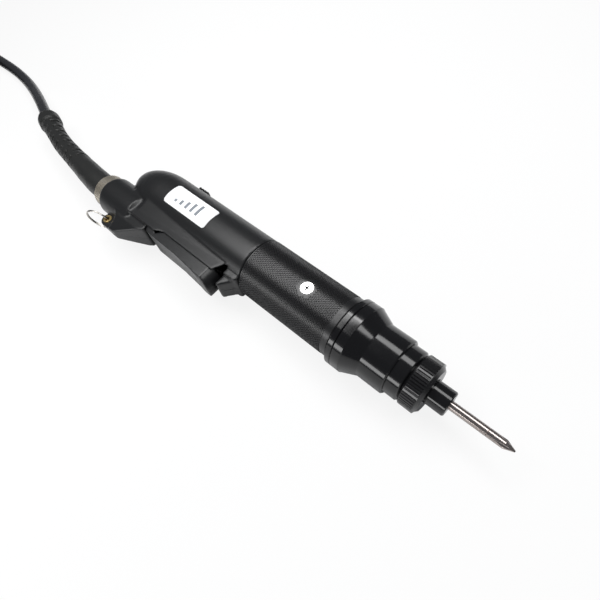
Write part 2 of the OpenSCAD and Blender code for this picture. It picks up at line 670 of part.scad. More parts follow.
module lever() color([0.1, 0.1, 0.105]) {
    front_x = grip_back - 10.4;
    side_line = [[pivot[0] + 5.2, -lever_top - 5], [pivot[0] + 9.6, -lever_top],
        [front_x - 4, -lever_top], [front_x, -lever_top - 0.6], [front_x, -lever_drop + 0.4],
        [front_x - 1.2, -lever_drop], [front_x - 4, -lever_drop + 0.3],
        [front_x - 12, -lever_drop + 1.6], [front_x - 26, -lever_drop + 2.6],
        [pivot[0] + 2, -lever_drop + 2.8], [pivot[0] - 0.6, -lever_drop + 3.4],
        [pivot[0] - 2.2, pivot[1] - 1.5], [pivot[0] - 2.2, pivot[1] + 1.4],
        [pivot[0] - 0.8, pivot[1] + 2.2], [pivot[0] + 1.6, pivot[1] + 2.2]];
    difference() {
        intersection() {
            slab(lever_w) polygon(side_line);
            // The outer face is crowned, and the front end is round in plan
            translate([pivot[0] - 10, -lever_drop + 26, 0]) rotate([0, 90, 0])
                cylinder(r = 26, h = 80, $fn = 128);
            union() {
                translate([front_x - 9.6, 0, 0]) rotate([90, 0, 0])
                    cylinder(r = 9.6, h = 60, center = true);
                translate([pivot[0] - 20, -40, -20]) cube([front_x - 9.6 - pivot[0] + 20, 60, 40]);
            }
        }
        // Hollow between the side walls
        slab(lever_w - 1.6) polygon([[pivot[0] + 6.5, 0], [pivot[0] + 6.5, -lever_drop + 5.2],
            [front_x - 14, -lever_drop + 4], [front_x - 5, -lever_drop + 2.4],
            [front_x - 5, 0]]);
        translate([pivot[0], pivot[1], 0]) cylinder(r = lever_pin_d / 2 + run, h = 40, center = true);
    }
    // Post over the switch and seat of the spring
    translate([plunger_x - 2, -lever_drop + 3.6, -2]) cube([4, lever_drop - 3.6 - 11.8, 4]);
    translate([spring_x, -lever_drop + 2.6, 0]) rotate([-90, 0, 0]) cylinder(r = 1.4, h = 3);
}

module lever_pin() color([0.7, 0.7, 0.72]) translate([pivot[0], pivot[1], 0])
    cylinder(r = lever_pin_d / 2, h = 2 * rail_w - 2, center = true);

module lever_spring() color([0.65, 0.65, 0.66]) {
    low = -lever_drop + 4.3;
    high = -12.4;
    wire = 0.7;
    line = [for (p = spring_line(low, high, 2.3, wire, 4)) [spring_x + p[2], p[0], p[1]]];
    tube(line, [for (p = line) wire / 2], 8, [0, 1, 0]);
}

/* Hanger */

module hanger_eyelet() color([0.72, 0.6, 0.38]) translate([eye[0], eye[1], 0]) {
    difference() {
        union() {
            cylinder(r = eyelet_r, h = lug_t + 0.2, center = true);
            for (s = [-1, 1]) translate([0, 0, s * (lug_t / 2 + 0.15 + fit)])
                cylinder(r = eyelet_r + 0.5, h = 0.3, center = true);
        }
        cylinder(r = eye_hole, h = 2 * lug_t, center = true);
    }
}

module hanger_ring() color([0.75, 0.74, 0.72]) translate([eye[0], eye[1], 0])
    rotate([0, 0, hang_dir]) translate([hang_r, 0, 0]) rotate([90, 0, 0])
        rotate_extrude() translate([hang_r, 0]) circle(r = hang_wire / 2, $fn = 24);

/* Socket, plug and cord */

socket_front = tail_face + 19;
module cord_socket() color([0.55, 0.55, 0.54]) translate([0, tail_y, 0])
    turned([[tail_face + 1, 6.2], [tail_face + 16, 6.2], [tail_face + 16, 0], [socket_front, 0],
        [socket_front, tail_r - tail_wall - fit], [tail_face + 1, tail_r - tail_wall - fit]]);

module socket_pins() color([0.8, 0.68, 0.35]) translate([tail_face + 8, tail_y, 0])
    for (i = [0 : 4]) rotate([i * 72, 0, 0]) translate([0, 0, 3.2]) rotate([0, 90, 0])
        cylinder(r = 0.5, h = 8 - fit);

module plug_core() color([0.6, 0.6, 0.58]) translate([0, tail_y, 0]) difference() {
    ring_x(plug_back + fit, tail_face + 15, 6.1);
    translate([tail_face + 7, 0, 0]) for (i = [0 : 4]) rotate([i * 72, 0, 0])
        translate([0, 0, 3.2]) rotate([0, 90, 0]) cylinder(r = 0.55, h = 10);
}

module plug_nut() color([0.78, 0.76, 0.7]) translate([0, tail_y, 0]) {
    ridge_count = 40;
    r = plug_nut_d / 2;
    nut_rear = plug_back + soft_gap;
    difference() {
        turned([[nut_rear, 6.1 + run], [tail_face - face_gap, 6.1 + run],
            [tail_face - face_gap, r - 0.4], [tail_face - 0.5, r],
            [nut_rear + 1, r], [nut_rear, r - 1]]);
        for (i = [0 : ridge_count - 1]) rotate([i * 360 / ridge_count, 0, 0])
            translate([plug_back + 1.4, 0, r]) rotate([45, 0, 0])
                translate([0, -0.2, -0.2]) cube([plug_nut_len - 2.4, 0.45, 0.45]);
    }
}

module strain_relief() color([0.1, 0.1, 0.1]) tube(boot_line, boot_radii, 20);

module cord() color([0.09, 0.09, 0.09]) {
    tube(cord_route, [for (p = cord_route) cord_r], 10);
    tube(end_route, [for (p = end_route) cord_r], 10);
}

module cord_coil() color([0.09, 0.09, 0.09]) translate([coil_at[0], coil_at[1], floor_z]) {
    inner = coil_turn_r - 1.5 * cord_d;
    outer = coil_turn_r + 1.5 * cord_d;
    top = cord_d + 2 * coil_rows_h;
    rotate_extrude() polygon([[inner, 0], [outer, 0], [outer, cord_d],
        [coil_turn_r + cord_r, top], [coil_turn_r - cord_r, top], [inner, cord_d]]);
}

module coil_tie() color([0.05, 0.05, 0.05]) translate([coil_at[0], coil_at[1], floor_z]) {
    half = 1.5 * cord_d;
    top = cord_d + 2 * coil_rows_h;
    translate([coil_turn_r, 4, 0]) rotate([90, 0, 0]) linear_extrude(8) difference() {
        polygon([[-half - 1.2, 0], [half + 1.2, 0], [half + 1.2, cord_d + 0.6],
            [cord_r + 0.8, top + 1], [-cord_r - 0.8, top + 1], [-half - 1.2, cord_d + 0.6]]);
        polygon([[-half - 0.1, -1], [half + 0.1, -1], [half + 0.1, cord_d + 0.2],
            [cord_r + 0.2, top + 0.1], [-cord_r - 0.2, top + 0.1], [-half - 0.1, cord_d + 0.2]]);
    }
}

end_at = end_route[len(end_route) - 1];
module end_plug() color([0.1, 0.1, 0.1]) translate([0, end_at[1], floor_z + end_nut_r])
    turned([[end_at[0], 0], [end_at[0], cord_r + 0.6], [end_at[0] + 16, end_plug_r - 0.8],
        [end_at[0] + 17, end_plug_r], [end_at[0] + 17 + end_plug_len, end_plug_r],
        [end_at[0] + 17 + end_plug_len, 6.4], [end_at[0] + 30, 6.4], [end_at[0] + 30, 0]]);

module end_plug_nut() color([0.78, 0.76, 0.7]) translate([0, end_at[1], floor_z + end_nut_r])
    ring_x(end_at[0] + 34, end_at[0] + 44, end_nut_r, end_plug_r + run);

module end_plug_pins() color([0.8, 0.68, 0.35])
    translate([end_at[0] + 30 + fit, end_at[1], floor_z + end_nut_r])
        for (i = [0 : 4]) rotate([i * 72, 0, 0]) translate([0, 0, 3.2]) rotate([0, 90, 0])
            cylinder(r = 0.5, h = 8);

bit();
chuck_collar();
collar_spring();
spindle();
spindle_clip();
bit_balls();
torque_nut();
spring_seat();
spindle_bush();
torque_spring();
thrust_washer();
clutch_tube();
clutch_cam();
clutch_balls();
clutch_driver();
nose_cone();
end_ring();
grip_sleeve();
screw_cups();
grip_screws();
gear_case();
ring_gear();
planet_gear_1();
planet_gear_2();
planet_gear_3();
planet_carrier();
sun_gear();
motor_can();
motor_magnets();
motor_shaft();
motor_rotor();
commutator();
motor_brushes();
motor_end_cap();
housing_label_side();
housing_far_side();
housing_screws();
label();
circuit_board();
start_switch();
switch_plunger();
lever();
lever_pin();
lever_spring();
direction_switch();
direction_knob();
hanger_eyelet();
hanger_ring();
cord_socket();
socket_pins();
plug_nut();
plug_core();
strain_relief();
cord();
cord_coil();
coil_tie();
end_plug();
end_plug_nut();
end_plug_pins();
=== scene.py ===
# %% [markdown]
# Electric torque screwdriver, dressed for rendering.
#
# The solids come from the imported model, already in place and in metres. This lesson adds
# what the eye sees: soft moulded edges, textured grip, ribbed rubber, cord and finishes.
# Everything is made from rules and sizes, so each number below is a real length.

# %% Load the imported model
import json
import math

import bmesh
import bpy
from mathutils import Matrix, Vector


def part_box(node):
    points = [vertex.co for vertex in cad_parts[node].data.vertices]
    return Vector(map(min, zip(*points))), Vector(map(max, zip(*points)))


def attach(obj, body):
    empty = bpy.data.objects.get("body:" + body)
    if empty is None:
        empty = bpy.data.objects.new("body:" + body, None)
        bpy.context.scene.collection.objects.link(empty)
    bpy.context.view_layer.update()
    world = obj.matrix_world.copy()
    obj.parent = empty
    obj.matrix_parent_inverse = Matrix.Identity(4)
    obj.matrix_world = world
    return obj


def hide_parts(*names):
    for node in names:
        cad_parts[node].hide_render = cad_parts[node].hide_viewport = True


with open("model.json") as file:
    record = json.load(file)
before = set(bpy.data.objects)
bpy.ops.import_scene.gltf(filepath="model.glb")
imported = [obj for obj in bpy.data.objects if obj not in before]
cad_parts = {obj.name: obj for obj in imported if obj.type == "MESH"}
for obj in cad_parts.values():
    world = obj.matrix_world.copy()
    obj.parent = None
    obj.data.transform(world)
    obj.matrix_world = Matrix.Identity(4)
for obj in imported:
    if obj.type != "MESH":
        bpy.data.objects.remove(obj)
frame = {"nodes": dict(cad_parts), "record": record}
nodes = frame["nodes"]
scene = bpy.context.scene
mm = 0.001
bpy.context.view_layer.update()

# %% [markdown]
# The camera comes first. It is close to the tool, so the bit's end looks larger than the
# cord's end. A lens of 27.8 mm on a 36 mm sensor gives that strong perspective.

# %% Camera
camera_up = 187
floor_z = -16.9
camera_data = bpy.data.cameras.new("camera")
camera_data.lens = 27.8
camera_data.sensor_width = 36
camera_data.clip_start = 0.01
camera = bpy.data.objects.new("camera", camera_data)
camera.location = (11.4 * mm, -62.4 * mm, camera_up * mm)
camera.rotation_euler = [math.radians(a) for a in (29.41, 8.163, 42.269)]
scene.collection.objects.link(camera)
scene.camera = camera
print("camera height over the floor, mm:", camera_up - floor_z)

# %% [markdown]
# A free cord keeps its length, so its route is planned as points on one smooth line. It
# leaves the rubber boot, sinks to the table, runs past the edge of the view and is wound
# into a flat coil: three turns on the table, two on top, and a last lap to the plug.
# Each lap shifts sideways inside a short arc, and it rises a little where it crosses one
# below, so no turn lies inside another.

# %% Route of the cord
cord_r = 3.75
lead = [(-318, -1.7, -3.5), (-330, 1.5, -4.8), (-344, 5.4, -6.8), (-358, 9, -9),
        (-372, 12.2, -11.1), (-388, 15.2, -12.7), (-404, 17, -13.1), (-420, 17.6, -13.1),
        (-436, 17.4, -13.1), (-453, 17, -13.1)]
tail = [(-458, -73, -0.8), (-446, -73, -3.8), (-434, -73, -7.6), (-422, -73, -11),
        (-411, -73, -12.9), (-400, -73, -13.1)]
coil_centre = (-470, -32)
laps = [(90, 48.5, 0), (390, 48.5, 0), (450, 41, 0), (750, 41, 0), (810, 33.5, 0),
        (990, 33.5, 0), (1050, 33.5, 6.8), (1110, 37.25, 7.4), (1140, 37.25, 7.6),
        (1200, 37.25, 6.8), (1290, 37.25, 6.8), (1320, 41, 7.7), (1350, 44.75, 6.8),
        (1450, 44.75, 7.2), (1500, 44.75, 7.6), (1560, 44.75, 7), (1590, 44.75, 6.8),
        (1620, 44, 10.6), (1650, 41.4, 13.6), (1680, 41, 14), (1700, 41, 13.6)]


def eased(t):
    return t * t * (3 - 2 * t)


def coil_points(step=12):
    points = []
    for (a0, r0, z0), (a1, r1, z1) in zip(laps, laps[1:]):
        count = max(1, round((a1 - a0) / step))
        for k in range(count):
            t = eased(k / count)
            a = math.radians(a0 + (a1 - a0) * k / count)
            r = r0 + (r1 - r0) * t
            points.append((coil_centre[0] + r * math.cos(a), coil_centre[1] + r * math.sin(a),
                           floor_z + cord_r + z0 + (z1 - z0) * t))
    return points


def smooth_line(points, spacing):
    """Points along a Catmull-Rom curve through the given ones, in metres."""
    knots = [Vector(p) * mm for p in points]
    knots = [2 * knots[0] - knots[1]] + knots + [2 * knots[-1] - knots[-2]]
    line = []
    for p0, p1, p2, p3 in zip(knots, knots[1:], knots[2:], knots[3:]):
        count = max(1, round((p2 - p1).length / spacing))
        for k in range(count):
            t = k / count
            line.append(0.5 * (2 * p1 + (p2 - p0) * t + (2 * p0 - 5 * p1 + 4 * p2 - p3) * t * t
                               + (3 * p1 - 3 * p2 + p3 - p0) * t ** 3))
    return line + [knots[-2]]


cord_line = smooth_line(lead + coil_points() + tail, 3 * mm)

# %% Cord as one open curve
cord_curve = bpy.data.curves.new("cord_jacket", "CURVE")
cord_curve.dimensions = "3D"
cord_curve.bevel_depth = cord_r * mm
cord_curve.bevel_resolution = 4
cord_curve.use_fill_caps = True
spline = cord_curve.splines.new("POLY")
spline.points.add(len(cord_line) - 1)
for point, place in zip(spline.points, cord_line):
    point.co = (*place, 1)
cord = bpy.data.objects.new("cord_jacket", cord_curve)
scene.collection.objects.link(cord)
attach(cord, "body")
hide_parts("cord", "cord_coil")

# %% [markdown]
# The table is one large sheet. The camera sees it as white paper with a faint shadow,
# while metal sees a plain white board, so reflections stay clean.

# %% Floor and world
def node_material(name):
    material = bpy.data.materials.new(name)
    material.use_nodes = True
    tree = material.node_tree
    tree.nodes.clear()
    out = tree.nodes.new("ShaderNodeOutputMaterial")
    return material, tree, out


def link(tree, a, b):
    tree.links.new(a, b)


paper, tree, out = node_material("white_paper")
matt = tree.nodes.new("ShaderNodeBsdfDiffuse")
matt.inputs["Color"].default_value = (0.72, 0.72, 0.72, 1)
glow = tree.nodes.new("ShaderNodeEmission")
glow.inputs["Strength"].default_value = 1
path = tree.nodes.new("ShaderNodeLightPath")
share = tree.nodes.new("ShaderNodeMath")
share.operation = "MULTIPLY"
share.inputs[1].default_value = 0.86
mix = tree.nodes.new("ShaderNodeMixShader")
link(tree, path.outputs["Is Camera Ray"], share.inputs[0])
link(tree, share.outputs[0], mix.inputs[0])
link(tree, matt.outputs[0], mix.inputs[1])
link(tree, glow.outputs[0], mix.inputs[2])
link(tree, mix.outputs[0], out.inputs[0])

bpy.ops.mesh.primitive_plane_add(size=8, location=(0, 0, floor_z * mm))
floor = bpy.context.object
floor.name = "table"
floor.data.materials.append(paper)

world = bpy.data.worlds.new("studio")
scene.world = world
world.use_nodes = True
tree = world.node_tree
tree.nodes.clear()
out = tree.nodes.new("ShaderNodeOutputWorld")
room = tree.nodes.new("ShaderNodeBackground")
room.inputs["Color"].default_value = (0.9, 0.93, 1, 1)
room.inputs["Strength"].default_value = 0.2
white = tree.nodes.new("ShaderNodeBackground")
white.inputs["Strength"].default_value = 1
path = tree.nodes.new("ShaderNodeLightPath")
mix = tree.nodes.new("ShaderNodeMixShader")
link(tree, path.outputs["Is Camera Ray"], mix.inputs[0])
link(tree, room.outputs[0], mix.inputs[1])
link(tree, white.outputs[0], mix.inputs[2])
link(tree, mix.outputs[0], out.inputs[0])
scene.view_settings.view_transform = "Standard"


def softbox(name, place, aim, size, power):
    lamp = bpy.data.lights.new(name, "AREA")
    lamp.shape = "RECTANGLE"
    lamp.size, lamp.size_y = size
    lamp.energy = power
    holder = bpy.data.objects.new(name, lamp)
    holder.location = place
    holder.rotation_euler = (Vector(aim) - Vector(place)).to_track_quat("-Z", "Y").to_euler()
    scene.collection.objects.link(holder)
    print(name, "power", power)


softbox("window_lamp", (-0.3, 0.02, 0.44), (-0.12, 0, 0), (0.5, 0.2), 2.4)
softbox("top_lamp", (0.02, 0.16, 0.46), (-0.06, 0, 0), (0.5, 0.16), 1.5)
softbox("side_lamp", (-0.2, -0.42, 0.1), (-0.14, 0, 0), (0.4, 0.1), 0.8)

# %% [markdown]
# A finish is a shader with a little irregularity: real plastic is never quite one colour
# or one gloss. Noise in Object coordinates varies the colour and the roughness, and a
# fine bump gives the grain. The same helper makes plastic, rubber and metal.

# %% Helper for finishes
def finish(name, colour, rough, metal=0.0, grain=900, bump=0.0, vary=0.15, coat=0.0,
           brushed=False, pits=False, shine=0.5):
    material, tree, out = node_material(name)
    shader = tree.nodes.new("ShaderNodeBsdfPrincipled")
    shader.inputs["Metallic"].default_value = metal
    shader.inputs["Specular IOR Level"].default_value = shine
    shader.inputs["Coat Weight"].default_value = coat
    shader.inputs["Coat Roughness"].default_value = 0.08
    link(tree, shader.outputs[0], out.inputs[0])
    place = tree.nodes.new("ShaderNodeTexCoord")
    stretch = tree.nodes.new("ShaderNodeMapping")
    stretch.inputs["Scale"].default_value = (1, 0.06, 0.06) if brushed else (1, 1, 1)
    link(tree, place.outputs["Object"], stretch.inputs["Vector"])
    cloud = tree.nodes.new("ShaderNodeTexNoise")
    cloud.inputs["Scale"].default_value = 70
    cloud.inputs["Detail"].default_value = 5
    link(tree, place.outputs["Object"], cloud.inputs["Vector"])
    fine = tree.nodes.new("ShaderNodeTexVoronoi" if pits else "ShaderNodeTexNoise")
    fine.inputs["Scale"].default_value = grain
    link(tree, stretch.outputs[0], fine.inputs["Vector"])
    tint = tree.nodes.new("ShaderNodeMix")
    tint.data_type = "RGBA"
    link(tree, cloud.outputs[0], tint.inputs["Factor"])
    tint.inputs[6].default_value = (*[c * (1 - vary) for c in colour], 1)
    tint.inputs[7].default_value = (*[min(1, c * (1 + vary)) for c in colour], 1)
    link(tree, tint.outputs[2], shader.inputs["Base Color"])
    spread = tree.nodes.new("ShaderNodeMapRange")
    spread.inputs["To Min"].default_value = rough * 0.8
    spread.inputs["To Max"].default_value = min(1, rough * 1.25)
    link(tree, fine.outputs[0], spread.inputs["Value"])
    link(tree, spread.outputs[0], shader.inputs["Roughness"])
    if bump:
        relief = tree.nodes.new("ShaderNodeBump")
        relief.inputs["Strength"].default_value = bump
        relief.inputs["Distance"].default_value = 0.05 * mm
        link(tree, fine.outputs[0], relief.inputs["Height"])
        link(tree, relief.outputs[0], shader.inputs["Normal"])
    return material


black = (0.0062, 0.0064, 0.0068)
finishes = {
    "housing_plastic": finish("satin_moulding", black, 0.34, grain=2600, bump=0.3,
                               shine=0.36),
    "lever_plastic": finish("lever_moulding", black, 0.3, grain=2600, bump=0.25,
                            shine=0.42),
    "grip_plastic": finish("grip_moulding", (0.005, 0.005, 0.0055), 0.3, grain=3000, bump=0.3,
                           shine=0.42),
    "black_gloss_metal": finish("gloss_black", (0.003, 0.003, 0.0035), 0.13, grain=500,
                                coat=0.1, shine=0.4),
    "black_knurl": finish("knurl_black", (0.004, 0.004, 0.0045), 0.2, grain=700, coat=0.1,
                          shine=0.45),
    "polished_steel": finish("polished_steel", (0.36, 0.32, 0.3), 0.22, 1, 1400, 0.0,
                             brushed=True),
    "bright_steel": finish("bright_steel", (0.62, 0.62, 0.63), 0.22, 1, 1500, 0.1),
    "steel": finish("ground_steel", (0.5, 0.5, 0.52), 0.3, 1, 1500, 0.2, brushed=True),
    "spring_steel": finish("spring_wire", (0.55, 0.55, 0.57), 0.25, 1, 1500, 0.1),
    "bronze": finish("sintered_bronze", (0.5, 0.33, 0.15), 0.45, 1, 3000, 0.4),
    "dark_steel": finish("blackened_steel", (0.006, 0.006, 0.006), 0.3, grain=1500, bump=0.2),
    "alloy": finish("machined_alloy", (0.6, 0.6, 0.61), 0.32, 1, 900, 0.2, brushed=True),
    "nylon": finish("nylon", (0.72, 0.68, 0.58), 0.5, grain=1500, bump=0.2, vary=0.05),
    "ferrite": finish("ferrite", (0.04, 0.04, 0.045), 0.6, grain=2500, bump=0.4),
    "copper_winding": finish("copper_winding", (0.5, 0.2, 0.08), 0.3, 1, 1200, 0.6,
                             brushed=True),
    "carbon": finish("carbon", (0.02, 0.02, 0.02), 0.55, grain=3000, bump=0.3),
    "circuit_board": finish("solder_mask", (0.02, 0.16, 0.05), 0.3, grain=1200, bump=0.2),
    "switch_plastic": finish("switch_moulding", (0.03, 0.03, 0.03), 0.45, grain=2500, bump=0.2),
    "plunger_red": finish("red_moulding", (0.5, 0.03, 0.02), 0.4, grain=2500, bump=0.2),
    "brass": finish("turned_brass", (0.6, 0.45, 0.2), 0.25, 1, 1500, 0.15),
    "ring_steel": finish("bright_wire", (0.45, 0.43, 0.4), 0.16, 1, 1200, 0.1),
    "satin_nickel": finish("satin_nickel", (0.62, 0.57, 0.48), 0.3, 1, 1600, 0.25, vary=0.1),
    "contact_gold": finish("contact_gold", (0.8, 0.58, 0.2), 0.25, 1, 1600, 0.1),
    "boot_rubber": finish("boot_rubber", (0.009, 0.0092, 0.0085), 0.42, grain=2200, bump=0.3,
                          shine=0.4),
    "cord_jacket": finish("jacket", (0.009, 0.0095, 0.011), 0.28, grain=1800, bump=0.2),
    "tie_fabric": finish("tie_loops", (0.01, 0.01, 0.011), 0.9, grain=4000, bump=0.9,
                         pits=True),
    "plug_plastic": finish("plug_moulding", (0.015, 0.015, 0.016), 0.4, grain=2400, bump=0.3),
    "label_film": finish("label_film", (0.86, 0.87, 0.88), 0.4, grain=1500, bump=0.05,
                         vary=0.02),
}
cord.data.materials.append(finishes["cord_jacket"])
slot_of = {row["node"]: row["material_slot"] for row in frame["record"]["subparts"]}
for name, solid in nodes.items():
    for holder in solid.material_slots:
        holder.material = finishes[slot_of[name]]
print("finishes:", len(finishes))

# %% [markdown]
# The grip's two screws are bright on top, and their cross recess gets painted shade.
# Both come from one finish that is painted dark under the level of the head.

# %% Screw heads
head_level = 14.45
screw_head = finish("screw_head", (0.8, 0.8, 0.8), 0.3, 1, 1500, 0.05)
tree = screw_head.node_tree
shader = next(n for n in tree.nodes if n.type == "BSDF_PRINCIPLED")
place = tree.nodes.new("ShaderNodeTexCoord")
split = tree.nodes.new("ShaderNodeSeparateXYZ")
size = tree.nodes.new("ShaderNodeMath")
size.operation = "ABSOLUTE"
# Mask for painted shade: under head_level the colour turns dark, which stands in for shade in
# the cross recess
recess_shade_mask = tree.nodes.new("ShaderNodeMath")
recess_shade_mask.operation = "LESS_THAN"
recess_shade_mask.inputs[1].default_value = head_level * mm
shade = tree.nodes.new("ShaderNodeMix")
shade.data_type = "RGBA"
# Colour of the painted shade in the recess and on the lower faces of the head
shade.inputs[7].default_value = (0.015, 0.015, 0.015, 1)
link(tree, place.outputs["Object"], split.inputs[0])
link(tree, split.outputs[2], size.inputs[0])
link(tree, size.outputs[0], recess_shade_mask.inputs[0])
link(tree, recess_shade_mask.outputs[0], shade.inputs["Factor"])
link(tree, shader.inputs["Base Color"].links[0].from_socket, shade.inputs[6])
link(tree, shade.outputs[2], shader.inputs["Base Color"])
for holder in nodes["grip_screws"].material_slots:
    holder.material = screw_head
print("screw heads: bright over", head_level, "mm from the axis")

# %% [markdown]
# Moulded plastic has no sharp edges. The solids have them, so a copy of each is joined,
# rebuilt as an even net of small squares and relaxed a few times. That rounds every edge
# and fills every inside corner a little, as a mould does.

# %% Helper for moulded shapes
def apply_modifiers(piece):
    mesh = bpy.data.meshes.new_from_object(piece.evaluated_get(
        bpy.context.evaluated_depsgraph_get()))
    piece.modifiers.clear()
    piece.data = mesh
    return piece


def new_piece(name, mesh):
    piece = bpy.data.objects.new(name, mesh)
    scene.collection.objects.link(piece)
    return piece


def piece_from(work, name):
    mesh = bpy.data.meshes.new(name)
    work.to_mesh(mesh)
    work.free()
    return new_piece(name, mesh)


def skin_rings(work, rings):
    """Faces between rings of as many points each, and a cap on both ends."""
    for lower, upper in zip(rings, rings[1:]):
        for i in range(len(lower)):
            j = (i + 1) % len(lower)
            work.faces.new((lower[i], lower[j], upper[j], upper[i]))
    work.faces.new(rings[0][::-1])
    work.faces.new(rings[-1])
    bmesh.ops.recalc_face_normals(work, faces=work.faces)


def merged_copy(name, node):
    piece = new_piece(name, nodes[node].data.copy())
    work = bmesh.new()
    work.from_mesh(piece.data)
    bmesh.ops.remove_doubles(work, verts=work.verts, dist=1e-6)
    work.to_mesh(piece.data)
    work.free()
    return piece


def boolean(piece, other, operation):
    step = piece.modifiers.new("cut", "BOOLEAN")
    step.operation = operation
    step.solver = "MANIFOLD"
    step.object = other
    apply_modifiers(piece)
    bpy.data.objects.remove(other)


def moulded(piece, voxel, rounds):
    net = piece.modifiers.new("net", "REMESH")
    net.mode = "VOXEL"
    net.voxel_size = voxel * mm
    net.use_smooth_shade = True
    relax = piece.modifiers.new("relax", "SMOOTH")
    relax.factor = 0.5
    relax.iterations = rounds
    apply_modifiers(piece)
    for face in piece.data.polygons:
        face.use_smooth = True
    print(piece.name, "faces:", len(piece.data.polygons))
    return piece


def dress(piece, body, slot, *stands_for):
    piece.data.materials.clear()
    piece.data.materials.append(finishes[slot])
    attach(piece, body)
    if stands_for:
        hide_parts(*stands_for)


# %% Housing shells
def box_mesh(name, low, high):
    work = bmesh.new()
    bmesh.ops.create_cube(work, size=1)
    for v in work.verts:
        v.co = [((l + h) / 2 + c * (h - l)) * mm for c, l, h in zip(v.co, low, high)]
    return piece_from(work, name)


def prism_along_x(name, x0, x1, outline, side):
    """A prism whose outline is given as (y, z) points, mirrored in z for side -1."""
    work = bmesh.new()
    rings = [[work.verts.new((x * mm, y * mm, side * z * mm)) for y, z in outline]
             for x in (x0, x1)]
    skin_rings(work, rings)
    return piece_from(work, name)


shell = merged_copy("shell", "housing_label_side")
boolean(shell, merged_copy("other_half", "housing_far_side"), "UNION")
# The belly narrows downwards and the ramp in front of the lever is slimmer than its block
belly_from, belly_to = -210, -166
belly_line = [(-37, 1.9), (-24, 8.3), (-24, 12), (-37, 12)]
ramp_from, ramp_to, ramp_half, ramp_foot, past = -117.4, -108.2, 6.4, -22.2, 12
for side in (-1, 1):
    boolean(shell, prism_along_x("belly_side", belly_from, belly_to, belly_line, side),
            "DIFFERENCE")
    low_z, high_z = (ramp_half, past) if side > 0 else (-past, -ramp_half)
    boolean(shell, box_mesh("ramp_side", (ramp_from, -26, low_z), (ramp_to, -16, high_z)),
            "DIFFERENCE")
boolean(shell, box_mesh("ramp_foot", (-120, -26, -past), (ramp_to, ramp_foot, past)),
        "DIFFERENCE")
moulded(shell, 0.5, 14)
halves = (("housing_shell_top", "housing_label_side", 0.03, 60),
          ("housing_shell_under", "housing_far_side", -60, -0.03))
for name, node, low_z, high_z in halves:
    half = new_piece(name, shell.data.copy())
    cutter = box_mesh("cutter", (-260, -60, low_z), (-60, 60, high_z))
    boolean(half, cutter, "INTERSECT")
    for face in half.data.polygons:
        face.use_smooth = abs(face.normal.z) < 0.999 or abs(face.center.z) > 0.1 * mm
    dress(half, "body", "housing_plastic", node)
    print(name, "faces:", len(half.data.polygons))
bpy.data.objects.remove(shell)

# %% Lever
lever = moulded(merged_copy("start_lever", "lever"), 0.4, 6)
dress(lever, "lever", "lever_plastic", "lever")

# %% [markdown]
# The grip is covered with hundreds of small low diamonds. They follow a rule, so Geometry
# Nodes place them: a grid of points is rolled round the axis, every second row is moved
# by half a step, and a diamond stands on each point. The same tree makes any pattern
# that goes round a cylinder.

# %% Tree that rolls copies round the axis
def socket_of(tree, name):
    return next(s.identifier for s in tree.interface.items_tree if s.name == name)


